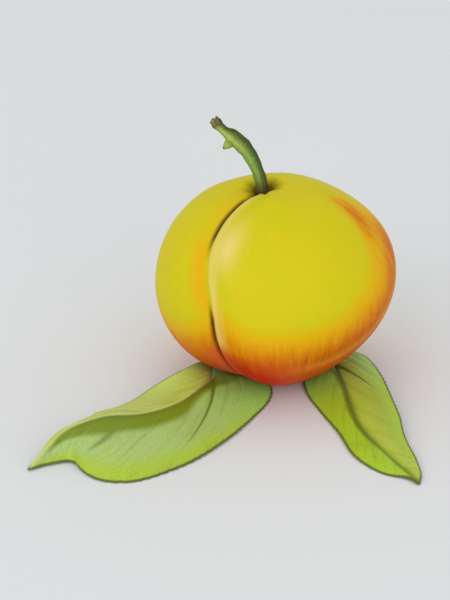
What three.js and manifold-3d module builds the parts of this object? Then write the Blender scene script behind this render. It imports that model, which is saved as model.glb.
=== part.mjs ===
// A picked peach with its stalk, resting on two loose leaves.
// Millimetres, +Z up, origin on the flat face the fruit rests on; the front is -Y.
import * as THREE from 'three';
import Module from 'manifold-3d';
import { mergeVertices } from 'three/addons/utils/BufferGeometryUtils.js';

// ---- fruit ----
const FRUIT_RADIUS = 34;            // half width across the cheeks
const FRUIT_HALF_HEIGHT = 28.9;     // half height along the stalk axis
const FRUIT_LEAN = 5;               // degrees the stalk end leans to -X
const REST_RADIUS = 7;              // radius at which the skin would meet the surface it rests on
// flat face underneath: its middle, its size, and the rise of the shallow ring round it
const REST_FACE = { x: 1.6, y: 0.4, radius: 4.5, sides: 7, rise: 0.04 };
const CAVITY_DEPTH = 3;             // dip at the stalk end
const CAVITY_WIDTH = 4.5;           // how far out the dip reaches
const POLE_SHIFT = -1.4;            // how far the stalk end sits off the fruit's own axis
const SUTURE_AZIMUTH = -33;         // degrees from the front, towards +X
const SUTURE_SWING = 11;            // degrees the suture line turns further near the stalk
const SUTURE_LINE = { depth: 1.2, width: 1.3 };
const SUTURE_VALLEY = { depth: 1.3, width: 7 };
const RIGHT_LOBE = { rise: 0.9, at: 9, width: 7 };
const LEFT_LOBE = { fall: 0.3, at: -9, width: 7 };
// how far out from the axis the suture dies away at the stalk end and underneath, and over what distance
const SUTURE_END = { stalk: -1, underneath: 5, over: 8 };
const FLANK = { fall: 1.4, towards: [0.7, -0.25, -0.67], sharpness: 7 };
const FRUIT_COLUMNS = 56;
const FRUIT_ROWS = 30;
const COLUMN_CROWDING = 1.6;        // columns of facets crowd towards the suture

// ---- stalk: [x, y, z, radius] from the foot to the broken tip ----
const STALK_STATIONS = [
  [-2.7, 0.0, 52.8, 1.95],
  [-3.3, 0.1, 56.8, 1.75],
  [-5.0, 0.3, 61.8, 1.8],
  [-7.6, 0.5, 66.4, 2.05],
  [-10.9, 0.4, 69.8, 2.1],
  [-13.8, 0.1, 72.2, 1.35],
  [-16.1, -0.3, 74.9, 1.65],
];
const STALK_RINGS = 18;
const STALK_SIDES = 12;
const TIP_SLANT = 0.7;              // how far the broken tip slants
const BUD = { x: -12.4, y: 0.2, z: 68.1, length: 2.3, radius: 1.35, tilt: 130 };
const SOCKET = { radius: 3.1, clearance: 0.8, height: 5.5 };

// ---- leaves: one row for each station from the cut end of the leaf stalk to the tip ----
// [x, y, z of the midrib, half width and edge height of the +X side, half width and edge height of the
// -X side]
const LEFT_LEAF = [
  [-16, 10, 1.6, 1, 1.4, 1, 1.4],
  [-17, -3, 1.2, 12.5, 0.45, 6.5, 3.4],
  [-17.2, -14, 3.8, 17.8, 0.3, 9, 5],
  [-20.5, -25, 6.3, 17.4, 0.3, 13.5, 4],
  [-26.5, -35, 7, 17.7, 0.3, 15.7, 3],
  [-35, -43.5, 8.6, 19.3, 0.3, 16.3, 3.2],
  [-45, -48, 10.2, 20.5, 0.3, 13, 4.4],
  [-54.5, -50, 7.4, 10, 0.3, 7, 3.6],
  [-60, -54.5, 3.8, 4.3, 0.3, 3, 1.6],
  [-64, -59, 0.6, 0.3, 0.5, 0.3, 0.5],
];
const RIGHT_LEAF = [
  [16, 16, 1.6, 1, 1.2, 1, 1.2],
  [16.5, 5, 2.0, 8, 3.0, 2.5, 1.2],
  [18, -5, 2.8, 10.5, 4.0, 9.2, 0.4],
  [19.7, -16, 3.0, 11.5, 4.0, 10.7, 0.3],
  [21, -28, 3.0, 12, 3.5, 8.4, 0.3],
  [22.7, -39, 2.5, 12, 2.5, 6.2, 0.3],
  [26.5, -49, 2.0, 9, 1.8, 7.1, 0.3],
  [31, -57.5, 1.4, 6.2, 1.2, 5.4, 0.3],
  [34, -62.5, 1.0, 3.6, 0.9, 1.5, 0.4],
  [36, -66, 0.6, 0.3, 0.5, 0.3, 0.5],
];
const BLADE_START = 0.1;            // fraction of the length taken by the leaf stalk
const BLADE_ROUNDING = 0.11;        // fraction of the length over which the base rounds out
const LEAF_STALK_RADIUS = 0.8;
const BLADE_HALF_THICKNESS = 0.28;
const EDGE_HALF_THICKNESS = 0.2;
const RIB_DEPTH = 0.7;              // midrib standing out of the underside at the base
const RIB_SPAN = 0.09;              // share of the half width the midrib covers
const LEAF_RINGS = 40;

// ---- colours ----
const PEACH_YELLOW = 0xd6c62a;
const STALK_GREEN = 0x6a8a38;
const LEAF_GREEN = 0x8ca83a;
const LEAF_BRIGHT_GREEN = 0x9aa832;

const wasm = await Module();
wasm.setup();
const { Manifold, Mesh: SolidMesh } = wasm;

const radians = THREE.MathUtils.degToRad;
const lerp = THREE.MathUtils.lerp;
const smoothstep = (x) => THREE.MathUtils.smoothstep(x, 0, 1);
const bell = (x, width) => Math.exp(-((x / width) ** 2));

function toSolid(geometry) {
  const bare = new THREE.BufferGeometry();
  bare.setAttribute('position', geometry.getAttribute('position'));
  bare.setIndex(geometry.getIndex());
  const welded = mergeVertices(bare, 1e-4);
  return new Manifold(new SolidMesh({
    numProp: 3,
    vertProperties: new Float32Array(welded.getAttribute('position').array),
    triVerts: new Uint32Array(welded.getIndex().array),
  }));
}

function toMesh(solid, name, colour, roughness) {
  const { vertProperties, triVerts } = solid.getMesh();
  const geometry = new THREE.BufferGeometry();
  geometry.setAttribute('position', new THREE.BufferAttribute(new Float32Array(vertProperties), 3));
  geometry.setIndex(new THREE.BufferAttribute(new Uint32Array(triVerts), 1));
  geometry.computeVertexNormals();
  const material = new THREE.MeshStandardMaterial({ color: colour, roughness, metalness: 0 });
  material.name = `${name}_finish`;
  const mesh = new THREE.Mesh(geometry, material);
  mesh.name = name;
  return mesh;
}

// Skins a row of rings (arrays of Vector3 with equal counts) and closes both ends with a fan.
function loft(rings) {
  const sides = rings[0].length;
  const positions = rings.flat().flatMap((p) => p.toArray());
  const index = [];
  for (let ring = 0; ring < rings.length - 1; ring += 1) {
    for (let side = 0; side < sides; side += 1) {
      const next = (side + 1) % sides;
      const a = ring * sides + side;
      const b = ring * sides + next;
      index.push(a, b, b + sides, a, b + sides, a + sides);
    }
  }
  [rings[0], rings.at(-1)].forEach((ring, end) => {
    const centre = ring.reduce((sum, p) => sum.add(p), new THREE.Vector3()).divideScalar(sides);
    const hub = positions.length / 3;
    positions.push(...centre.toArray());
    const start = end * (rings.length - 1) * sides;
    for (let side = 0; side < sides; side += 1) {
      const a = start + side;
      const b = start + ((side + 1) % sides);
      index.push(...(end ? [hub, a, b] : [hub, b, a]));
    }
  });
  const geometry = new THREE.BufferGeometry();
  geometry.setAttribute('position', new THREE.Float32BufferAttribute(positions, 3));
  geometry.setIndex(index);
  return geometry;
}

// ---- fruit ----
const lean = radians(FRUIT_LEAN);
const centreHeight = Math.hypot(FRUIT_RADIUS * Math.sin(lean), FRUIT_HALF_HEIGHT * Math.cos(lean));
const centreShift = ((FRUIT_RADIUS ** 2 - FRUIT_HALF_HEIGHT ** 2) * Math.sin(lean) * Math.cos(lean))
  / centreHeight;
const restCut = FRUIT_HALF_HEIGHT * (1 - Math.sqrt(1 - (REST_RADIUS / FRUIT_RADIUS) ** 2));

// How far the skin stands off the plain ellipsoid, from the distances across and along the suture
// line and the height, which runs from -1 underneath to 1 at the stalk.
function lobeOffset(across, along, height) {
  const line = SUTURE_LINE.depth * Math.exp(-((Math.abs(across) / SUTURE_LINE.width) ** 1.2));
  const valley = SUTURE_VALLEY.depth * bell(across, SUTURE_VALLEY.width);
  const right = RIGHT_LOBE.rise * bell(across - RIGHT_LOBE.at, RIGHT_LOBE.width);
  const left = LEFT_LOBE.fall * bell(across - LEFT_LOBE.at, LEFT_LOBE.width);
  const end = lerp(SUTURE_END.underneath, SUTURE_END.stalk, (1 + height) / 2);
  return (right - line - valley - left) * smoothstep((along - end) / SUTURE_END.over);
}

// A point of the skin: polar angle from the stalk end, turn about the stalk axis from the suture.
function skinPoint(polar, turn) {
  const height = Math.cos(polar);
  const azimuth = radians(SUTURE_AZIMUTH - SUTURE_SWING * smoothstep(height)) + turn;
  const ring = Math.sin(polar);
  const direction = new THREE.Vector3(ring * Math.sin(azimuth), -ring * Math.cos(azimuth), height);
  const size = new THREE.Vector3(FRUIT_RADIUS, FRUIT_RADIUS, FRUIT_HALF_HEIGHT);
  const normal = direction.clone().divide(size).normalize();
  const flank = Math.max(direction.dot(new THREE.Vector3(...FLANK.towards)), 0) ** FLANK.sharpness;
  const reach = FRUIT_RADIUS * ring;
  const lobes = lobeOffset(reach * Math.sin(turn), reach * Math.cos(turn), height);
  const point = direction.clone().multiply(size).addScaledVector(normal, lobes - FLANK.fall * flank);
  point.x += POLE_SHIFT * smoothstep((height - 0.2) / 0.8);
  if (height > 0) {
    point.z -= CAVITY_DEPTH * bell(Math.hypot(point.x - POLE_SHIFT, point.y), CAVITY_WIDTH);
  }
  point.applyAxisAngle(new THREE.Vector3(0, 1, 0), -lean);
  return point.add(new THREE.Vector3(centreShift, 0, centreHeight - restCut));
}

function fruitSolid() {
  const geometry = new THREE.SphereGeometry(1, FRUIT_COLUMNS, FRUIT_ROWS);
  const position = geometry.getAttribute('position');
  const uv = geometry.getAttribute('uv');
  for (let i = 0; i < position.count; i += 1) {
    const polar = (1 - uv.getY(i)) * Math.PI;
    const side = 2 * uv.getX(i) - 1;
    const turn = Math.PI * Math.sign(side) * Math.abs(side) ** COLUMN_CROWDING;
    const point = skinPoint(polar, turn);
    position.setXYZ(i, point.x, point.y, point.z);
  }
  const [x, y, z] = STALK_STATIONS[0];
  const socket = new THREE.CylinderGeometry(SOCKET.radius, SOCKET.radius, SOCKET.height, STALK_SIDES);
  socket.rotateX(Math.PI / 2).translate(x, y, z - SOCKET.clearance + SOCKET.height / 2);
  const room = 3 * FRUIT_RADIUS;
  const mouth = REST_FACE.radius + room / REST_FACE.rise;
  const funnel = new THREE.CylinderGeometry(mouth, REST_FACE.radius, room, REST_FACE.sides);
  funnel.rotateX(Math.PI / 2).translate(REST_FACE.x, REST_FACE.y, room / 2);
  return toSolid(geometry).intersect(toSolid(funnel)).subtract(toSolid(socket));
}

// ---- stalk ----
function stalkSolid() {
  const spine = new THREE.CatmullRomCurve3(
    STALK_STATIONS.map(([x, y, z]) => new THREE.Vector3(x, y, z)), false, 'catmullrom', 0.5);
  const girth = new THREE.CatmullRomCurve3(
    STALK_STATIONS.map((row) => new THREE.Vector3(row[3], 0, 0)), false, 'catmullrom', 0.5);
  const rings = [];
  for (let ring = 0; ring <= STALK_RINGS; ring += 1) {
    const t = ring / STALK_RINGS;
    const centre = spine.getPoint(t);
    const along = spine.getTangent(t);
    const across = new THREE.Vector3(0, 1, 0).cross(along).normalize();
    const aside = along.clone().cross(across);
    const radius = girth.getPoint(t).x;
    const points = [];
    for (let side = 0; side < STALK_SIDES; side += 1) {
      const angle = (side / STALK_SIDES) * 2 * Math.PI;
      const slant = ring === STALK_RINGS ? TIP_SLANT * Math.cos(angle) : 0;
      points.push(centre.clone()
        .addScaledVector(across, radius * Math.cos(angle))
        .addScaledVector(aside, radius * Math.sin(angle))
        .addScaledVector(along, slant));
    }
    rings.push(points);
  }
  const bud = new THREE.SphereGeometry(1, STALK_SIDES, STALK_SIDES / 2);
  bud.scale(BUD.radius, BUD.length, BUD.radius);
  bud.rotateZ(radians(BUD.tilt)).rotateX(Math.PI / 2).translate(BUD.x, BUD.y, BUD.z);
  return toSolid(loft(rings)).add(toSolid(bud));
}

// ---- leaves ----
function leafSolid(stations) {
  const curve = (a, b, c) => new THREE.CatmullRomCurve3(
    stations.map((row) => new THREE.Vector3(row[a] ?? 0, row[b] ?? 0, row[c] ?? 0)),
    false, 'catmullrom', 0.5);
  const midrib = curve(0, 1, 2);
  const plusSide = curve(3, 4);
  const minusSide = curve(5, 6);
  // [place across the blade, upper (+1) or lower (-1) face]
  const outline = [
    [1, 1], [0.55, 1], [0, 1], [-0.55, 1], [-1, 1],
    [-1, -1], [-0.55, -1], [-RIB_SPAN, -1], [0, -1], [RIB_SPAN, -1], [0.55, -1], [1, -1],
  ];
  const rings = [];
  for (let ring = 0; ring <= LEAF_RINGS; ring += 1) {
    const t = ring / LEAF_RINGS;
    const centre = midrib.getPoint(t);
    const heading = midrib.getTangent(t).setZ(0).normalize();
    const sideways = new THREE.Vector3(-heading.y, heading.x, 0);
    const blade = THREE.MathUtils.clamp((t - BLADE_START) / BLADE_ROUNDING, 0, 1);
    const rounding = Math.sqrt(1 - (1 - blade) ** 2);
    const stem = LEAF_STALK_RADIUS * (1 - 0.6 * t);
    const halfThickness = lerp(LEAF_STALK_RADIUS, BLADE_HALF_THICKNESS, smoothstep(blade));
    const ribDepth = RIB_DEPTH * (1 - t) * smoothstep(blade);
    rings.push(outline.map(([across, face]) => {
      const side = (across > 0 ? plusSide : minusSide).getPoint(t);
      const width = Math.max(side.x * rounding, stem);
      const drop = THREE.MathUtils.clamp(side.y - centre.z, -0.9 * width, 0.9 * width);
      const reach = Math.sqrt(width ** 2 - drop ** 2);
      const edgeness = Math.abs(across) ** 2;
      const half = lerp(halfThickness, EDGE_HALF_THICKNESS, edgeness);
      const rib = face < 0 && across === 0 ? ribDepth : 0;
      return centre.clone()
        .addScaledVector(sideways, across * reach)
        .add(new THREE.Vector3(0, 0, Math.abs(across) * drop + face * half - rib));
    }));
  }
  return toSolid(loft(rings));
}

const peach = new THREE.Group();
peach.name = 'peach';
peach.add(
  toMesh(fruitSolid(), 'fruit', PEACH_YELLOW, 0.6),
  toMesh(stalkSolid(), 'stalk', STALK_GREEN, 0.7),
  toMesh(leafSolid(LEFT_LEAF), 'leaf_left', LEAF_GREEN, 0.5),
  toMesh(leafSolid(RIGHT_LEAF), 'leaf_right', LEAF_BRIGHT_GREEN, 0.5),
);

export default peach;
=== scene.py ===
"""A ripe peach with its bent stalk, resting on two loose leaves.

Lengths are in metres, and the fruit's width comes from the frame. Each piece is one closed surface
worked out with numpy, and each finish is a node material painted from the piece's own attributes.
"""
from dataclasses import dataclass

import bpy
import numpy as np
from bpy.props import FloatProperty, FloatVectorProperty, IntProperty, PointerProperty
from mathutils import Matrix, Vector


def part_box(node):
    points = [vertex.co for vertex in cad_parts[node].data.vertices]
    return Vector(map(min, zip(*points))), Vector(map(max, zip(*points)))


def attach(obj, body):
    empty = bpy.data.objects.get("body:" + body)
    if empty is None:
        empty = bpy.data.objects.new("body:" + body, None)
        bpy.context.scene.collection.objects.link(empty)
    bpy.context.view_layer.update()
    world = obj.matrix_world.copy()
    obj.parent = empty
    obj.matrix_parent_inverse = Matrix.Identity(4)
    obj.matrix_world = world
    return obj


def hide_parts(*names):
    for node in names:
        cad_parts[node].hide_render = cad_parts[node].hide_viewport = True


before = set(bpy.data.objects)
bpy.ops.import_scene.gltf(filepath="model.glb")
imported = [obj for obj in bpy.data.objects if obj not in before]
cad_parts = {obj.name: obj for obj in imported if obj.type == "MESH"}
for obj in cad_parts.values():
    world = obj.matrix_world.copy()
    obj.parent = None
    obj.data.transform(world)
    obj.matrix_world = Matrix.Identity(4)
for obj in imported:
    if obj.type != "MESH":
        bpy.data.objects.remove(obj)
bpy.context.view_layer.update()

bl_info = {
    "name": "Peach on two leaves",
    "version": (1, 0, 0),
    "blender": (4, 5, 0),
    "location": "3D View > Sidebar > Peach",
    "description": "Grows a peach, its stalk and two loose leaves, and a plain studio for them",
    "category": "Object",
}

MM = 0.001
BODY = "root"

FRUIT_LOW, FRUIT_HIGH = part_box("fruit")

# ---- fruit: what stands off its ellipsoid or sinks below it ----
SUTURE_SWING = np.radians(11)  # its further turn near the stalk
SUTURE_WIDTH = 1.1 * MM
SUTURE_END = (5, -1)           # mm from the axis, underneath and at the stalk
SUTURE_FADE = 8 * MM           # how far it takes to fade there
VALLEY_DEPTH = 1.3 * MM        # the wide valley round the suture
RIGHT_LOBE_RISE = 0.9 * MM
LEFT_LOBE_FALL = 0.3 * MM
LOBE_PLACE = 9 * MM            # from the suture to the middle of a lobe
LOBE_WIDTH = 7 * MM            # of the valley and either lobe
FLANK_FACING = np.array([0.7, -0.25, -0.67])  # the low right flank
FLANK_FALL = 1.4 * MM          # how far it is flattened
POLE_SHIFT = -1.4 * MM         # of the stalk end
CAVITY_DEPTH = 3 * MM
CAVITY_WIDTH = 4.5 * MM
SOCKET_DEPTH = 1.6 * MM        # round the stalk's foot, below the cavity
SOCKET_RADIUS = 3.0 * MM
SOCKET_SLOPE = 0.5 * MM

# ---- its yellow cheeks: which way each faces, and how many degrees off the blush begins ----
YELLOW_CHEEKS = [
    (0.13, -0.75, 0.64, 37.5),
    (0.05, 0.30, 0.95, 38),
    (-0.60, 0.10, 0.79, 22),
    (-0.80, -0.45, 0.40, 23),
]

# ---- its marks: degrees from the first cheek, and width ----
PATCH = (47, 5)
# painted shade: a darker crescent inside the right limb; painted reflected light: a paler glint outside
# it
SHADE_CRESCENT = (65.5, 5)
GLINT = (72.5, 4)
PATCH_FACING = (0.66, -0.20, 0.72)
PATCH_REACH = 17               # degrees
SHADE_CRESCENT_FACING = np.array([0.83, -0.12, -0.54])
# painted highlight high on the right lobe, where the key light falls
HIGHLIGHT_ACROSS = (6.5, 3.2)      # mm over the suture, and width
HIGHLIGHT_DOWN = (47, 11)          # degrees from the stalk end, and width

# ---- stalk: x, y, z, radius of each station from the foot to the broken tip ----
STALK_STATIONS = MM * np.array([
    [-2.7, 0.0, 52.8, 1.8],
    [-3.3, 0.1, 56.8, 1.65],
    [-5.0, 0.3, 61.8, 1.75],
    [-7.6, 0.5, 66.4, 2.0],
    [-10.9, 0.4, 69.8, 2.0],
    [-13.8, 0.1, 72.2, 1.25],
    [-16.1, -0.3, 74.7, 1.5],
])
BARK_SWING = (2, 2, 3)         # pull of the grain, twice round and once along
BUD_PLACE = MM * np.array([-12.3, 0.1, 68.2])
BUD_AIM = np.array([-0.74, -0.15, -0.66])
BUD_RADIUS = 1.15 * MM

# ---- leaves: one row for each station from the cut end of the leaf stalk to the tip ----
# x, y, z of the midrib, half width and edge height of the +X side, then of the -X side
LEFT_LEAF = MM * np.array([
    [-16, 10, 1.6, 1, 1.4, 1, 1.4],
    [-17, -3, 1.2, 12.5, 0.45, 6.5, 3.4],
    [-17.2, -14, 3.8, 17.8, 0.3, 9, 5],
    [-20.5, -25, 6.3, 17.4, 0.3, 13.5, 4],
    [-26.5, -35, 7, 17.7, 0.3, 15.7, 3],
    [-35, -43.5, 8.6, 19.3, 0.3, 16.3, 3.2],
    [-45, -48, 10.2, 20.5, 0.3, 13, 4.4],
    [-54.5, -50, 7.4, 10, 0.3, 7, 3.6],
    [-60, -54.5, 3.8, 4.3, 0.3, 3, 1.6],
    [-64, -59, 0.6, 0.3, 0.5, 0.3, 0.5],
])
RIGHT_LEAF = MM * np.array([
    [16, 16, 1.6, 1, 1.2, 1, 1.2],
    [16.5, 5, 2.0, 8, 3.0, 2.5, 1.2],
    [18, -5, 2.8, 10.5, 4.0, 9.2, 0.4],
    [19.7, -16, 3.0, 11.5, 4.0, 10.7, 0.3],
    [21, -28, 3.0, 12, 3.5, 8.4, 0.3],
    [22.7, -39, 2.5, 12, 2.5, 6.2, 0.3],
    [26.5, -49, 2.0, 9, 1.8, 7.1, 0.3],
    [31, -57.5, 1.4, 6.2, 1.2, 5.4, 0.3],
    [34, -62.5, 1.0, 3.6, 0.9, 1.5, 0.4],
    [36, -66, 0.6, 0.3, 0.5, 0.3, 0.5],
])

# ---- blade of a leaf ----
BLADE_START = 0.10             # share of the length taken by the leaf stalk
BLADE_ROUNDING = 0.11          # and by the rounding of the base
LEAF_FLOOR = 0.15 * MM         # a blade comes no lower
LEAF_STALK_RADIUS = 0.8 * MM
TOOTH_DEPTH = 0.28 * MM
PUFF_HEIGHT = 0.30 * MM        # of the blade between side veins
CAMBER = 0.16                  # share of the half width
EDGE_WAVE = 0.2 * MM
MIDRIB_GROOVE = 0.30 * MM
RIB_DEPTH = 0.75 * MM          # midrib under the blade
VEIN_DEPTH = 0.10 * MM         # side veins under the blade

# ---- lights: name, way and distance from the aim, width, power, tint ----
LAMPS = [
    ("key", (-0.53, -0.74, 0.41), 2.2, 1.7, 11.4, (1.0, 0.99, 0.97)),
    ("front", (0.40, -0.89, 0.22), 1.8, 1.0, 4.4, (1.0, 1.0, 1.0)),
]
STUDIO_LIGHT = (0.92, 0.93, 0.95, 1.0)
STUDIO_STRENGTH = 0.85


# ======== small maths ========

def smoothstep(x):
    """Nought below 0, one above 1, and 3x squared minus 2x cubed between."""
    x = np.clip(x, 0, 1)
    return x * x * (3 - 2 * x)


def bell(x, width):
    """One at the middle, falling as e to the minus (x over width) squared."""
    return np.exp(-((x / width) ** 2))


def bell_at(x, middle, width):
    """A bell that stands at middle."""
    return bell(x - middle, width)


def blend(a, b, share):
    """a where share is 0, b where it is 1, in proportion between."""
    return a + (b - a) * share


def unit(vectors):
    """Each vector over its own length."""
    return vectors / np.linalg.norm(vectors, axis=-1, keepdims=True)


def through(stations, t):
    """A uniform Catmull-Rom curve through the stations.

    Between two of them each column is the cubic whose slope at a station is half the step from the
    station before to the one after.
    """
    last = len(stations) - 1
    place = np.clip(np.asarray(t, float) * last, 0, last - 1e-9)
    near = place.astype(int)
    part = (place - near)[..., None]
    padded = np.concatenate([
        [2 * stations[0] - stations[1]], stations, [2 * stations[-1] - stations[-2]]])
    before, a, b, after = (padded[near + k] for k in range(4))
    slope_a = (b - before) / 2
    slope_b = (after - a) / 2
    cube = 2 * a - 2 * b + slope_a + slope_b
    square = 3 * b - 3 * a - 2 * slope_a - slope_b
    return ((cube * part + square) * part + slope_a) * part + a


def onward(stations, t):
    """Which way the curve through the stations runs at t: its gain from just before to just after."""
    step = 1e-3
    return through(stations, np.minimum(t + step, 1)) - through(stations, np.maximum(t - step, 0))


def crowd(spread, power):
    """Moves numbers from -1 to 1 towards 0, by a power of their size."""
    return np.sign(spread) * np.abs(spread) ** power


def as_vector(pull, *fields):
    """Three painted fields as one vector, each times its own pull."""
    return np.stack([part * field for part, field in zip(pull, fields)], -1)


def ripple(phases, *waves):
    """A sum of sines: each wave is (height, turns for each phase..., offset)."""
    total = 0
    for height, *turns, offset in waves:
        total = total + height * np.sin(sum(n * p for n, p in zip(turns, phases)) + offset)
    return total


# ======== meshes ========

def ring_skin(name, rings, attributes):
    """A closed mesh over rings, an array (rows, columns, 3) whose columns run right round.

    Each row is joined to the next by quads. The two end rows are closed by fans to their middles.
    The faces are turned over if the volume they hold would come out negative.
    attributes maps a name to an array (rows, columns) or (rows, columns, 3).
    """
    rows, columns = rings.shape[:2]
    cells = np.arange(rows * columns).reshape(rows, columns)
    beside = np.roll(cells, -1, axis=1)
    quads = np.stack([cells[:-1], cells[1:], beside[1:], beside[:-1]], -1).reshape(-1, 4)
    first, last = rows * columns, rows * columns + 1
    start = np.stack([np.full(columns, first), cells[0], beside[0]], -1)
    end = np.stack([np.full(columns, last), beside[-1], cells[-1]], -1)
    points = np.concatenate([rings.reshape(-1, 3), rings[[0, -1]].mean(axis=1)])
    a, b, c, d = (points[quads[:, k]] for k in range(4))
    volume = (np.cross(b - a, c - a) * a).sum() + (np.cross(c - a, d - a) * a).sum()
    if volume < 0:
        quads, start, end = quads[:, ::-1], start[:, ::-1], end[:, ::-1]

    mesh = bpy.data.meshes.new(name)
    corners = np.concatenate([quads.ravel(), start.ravel(), end.ravel()]).astype(np.int32)
    sizes = np.concatenate([np.full(len(quads), 4), np.full(2 * columns, 3)]).astype(np.int32)
    mesh.vertices.add(len(points))
    mesh.vertices.foreach_set("co", points.ravel())
    mesh.loops.add(len(corners))
    mesh.loops.foreach_set("vertex_index", corners)
    mesh.polygons.add(len(sizes))
    starts = np.concatenate([[0], np.cumsum(sizes)[:-1]])
    mesh.polygons.foreach_set("loop_start", starts.astype(np.int32))
    mesh.polygons.foreach_set("use_smooth", np.ones(len(sizes), bool))
    mesh.update(calc_edges=True)
    if mesh.validate():
        raise RuntimeError(f"{name} came out with bad faces")

    for label, values in attributes.items():
        flat = values.reshape(rows * columns, -1)
        ends = values[[0, -1]].mean(axis=1).reshape(2, -1)
        flat = np.concatenate([flat, ends])
        kind, key = ("FLOAT_VECTOR", "vector") if flat.shape[1] == 3 else ("FLOAT", "value")
        layer = mesh.attributes.new(label, kind, "POINT")
        layer.data.foreach_set(key, flat.astype(np.float32).ravel())
    piece = bpy.data.objects.new(name, mesh)
    bpy.context.scene.collection.objects.link(piece)
    return piece


def finish_piece(piece, material, slot, *nodes):
    """Gives a piece its material and its CAD body, and hides the CAD nodes it stands for. slot is not
    used.
    """
    piece.data.materials.append(material)
    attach(piece, BODY)
    if nodes:
        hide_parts(*nodes)


# ======== materials ========

def sum_by(operation, reflected=False):
    """A method that adds one Math node. Reflected, the other number comes first: 1 - mask."""
    def method(self, *others):
        values = (*others, self) if reflected else (self, *others)
        return self.paint.maths(operation, *values)
    return method


class Value:
    """A number socket that works in Python sums: every operator adds the Math node it needs."""

    def __init__(self, paint, socket):
        self.paint = paint
        self.socket = socket

    __add__ = sum_by("ADD")
    __radd__ = sum_by("ADD", reflected=True)
    __sub__ = sum_by("SUBTRACT")
    __rsub__ = sum_by("SUBTRACT", reflected=True)
    __mul__ = sum_by("MULTIPLY")
    __rmul__ = sum_by("MULTIPLY", reflected=True)
    __abs__ = sum_by("ABSOLUTE")
    at_least = sum_by("MAXIMUM")
    at_most = sum_by("MINIMUM")


class Paint:
    """One material and the nodes that paint it."""

    def __init__(self, name):
        self.material = bpy.data.materials.new(name)
        self.material.use_nodes = True
        self.nodes = self.material.node_tree.nodes
        self.links = self.material.node_tree.links
        self.surface = self.nodes["Principled BSDF"]

    def feed(self, socket, value):
        """Links a socket or sets its number, colour or vector."""
        if isinstance(value, Value):
            value = value.socket
        if isinstance(value, bpy.types.NodeSocket):
            self.links.new(value, socket)
        elif hasattr(socket.default_value, "__len__") and len(socket.default_value) == 4:
            socket.default_value = tuple(value)[:3] + (1.0,)
        else:
            socket.default_value = value

    def node(self, kind, settings=None, sockets=None, output=0):
        """Adds a node, its settings first and then its sockets by name or number, and gives an output."""
        node = self.nodes.new(kind)
        for key, value in (settings or {}).items():
            if key == "stops":
                self._set_stops(node.color_ramp, value)
            else:
                setattr(node, key, value)
        for key, value in (sockets or {}).items():
            self.feed(node.inputs[key], value)
        return Value(self, node.outputs[output])

    @staticmethod
    def _set_stops(ramp, stops):
        while len(ramp.elements) < len(stops):
            ramp.elements.new(1.0)
        for element, (position, colour) in zip(ramp.elements, stops):
            element.position = position
            element.color = tuple(colour)[:3] + (1.0,)

    def maths(self, operation, *values):
        return self.node("ShaderNodeMath", {"operation": operation}, dict(enumerate(values)))

    def attribute(self, name, output="Fac"):
        return self.node("ShaderNodeAttribute", {"attribute_name": name}, output=output)

    def attributes(self, *names):
        return [self.attribute(name) for name in names]

    def place(self):
        return self.node("ShaderNodeTexCoord", output="Object")

    def noise(self, vector, scale, detail=3.0, roughness=0.5):
        return self.node("ShaderNodeTexNoise", None, {
            "Vector": vector, "Scale": scale, "Detail": detail, "Roughness": roughness})

    def cells(self, vector, scale, feature="F1"):
        return self.node("ShaderNodeTexVoronoi", {"feature": feature}, {
            "Vector": vector, "Scale": scale}, output="Distance")

    def between(self, value, low, high):
        """0 where value is at or under low, 1 at or over high, smooth between."""
        return self.node("ShaderNodeMapRange", {"interpolation_type": "SMOOTHSTEP"}, {
            "Value": value, "From Min": low, "From Max": high})

    def band(self, value, low, full, fading, high):
        """1 from full to fading, falling smoothly to 0 at low and at high."""
        return self.between(value, low, full) * (1 - self.between(value, fading, high))

    def peak(self, value, width):
        """1 where value is 0, falling smoothly to 0 at width on both sides."""
        return 1 - self.between(abs(value), 0.0, width)

    def mix(self, share, first, second):
        settings = {"data_type": "RGBA", "clamp_factor": True}
        return self.node("ShaderNodeMix", settings, {0: share, 6: first, 7: second}, output=2)

    def coats(self, ground, *coats):
        """Lays one colour over another: each coat is how far it covers, and its colour."""
        for cover, tint in coats:
            ground = self.mix(cover, ground, tint)
        return ground

    def ramp(self, value, stops):
        return self.node("ShaderNodeValToRGB", {"stops": stops}, {"Fac": value})

    def bump(self, height, distance, strength, under=None):
        sockets = {"Height": height, "Distance": distance, "Strength": strength}
        if under is not None:
            sockets["Normal"] = under
        return self.node("ShaderNodeBump", None, sockets)

    def finish(self, colour, roughness, normal, **constants):
        """Feeds what varies, and sets what is the same all over on the shader's own sockets."""
        self.feed(self.surface.inputs["Base Color"], colour)
        self.feed(self.surface.inputs["Roughness"], roughness)
        self.feed(self.surface.inputs["Normal"], normal)
        for key, value in constants.items():
            self.feed(self.surface.inputs[key.replace("_", " ")], value)
        return self.material


# ======== settings ========

def length(name, description, default):
    return FloatProperty(name=name, description=description, default=default, min=0.0,
                         subtype="DISTANCE", unit="LENGTH", precision=4)


def angle(name, description, degrees):
    return FloatProperty(name=name, description=description, default=np.radians(degrees),
                         subtype="ANGLE", unit="ROTATION")


def share(name, description, default):
    return FloatProperty(name=name, description=description, default=default, min=0.0, max=1.0,
                         subtype="FACTOR")


def colour(name, description, red, green, blue):
    """A colour property given as display values from 0 to 255, kept as scene-linear."""
    shown = np.array([red, green, blue]) / 255
    linear = np.where(shown > 0.04045, ((shown + 0.055) / 1.055) ** 2.4, shown / 12.92)
    return FloatVectorProperty(name=name, description=description, subtype="COLOR", size=3,
                               default=tuple(linear), min=0.0, max=1.0)


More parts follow.
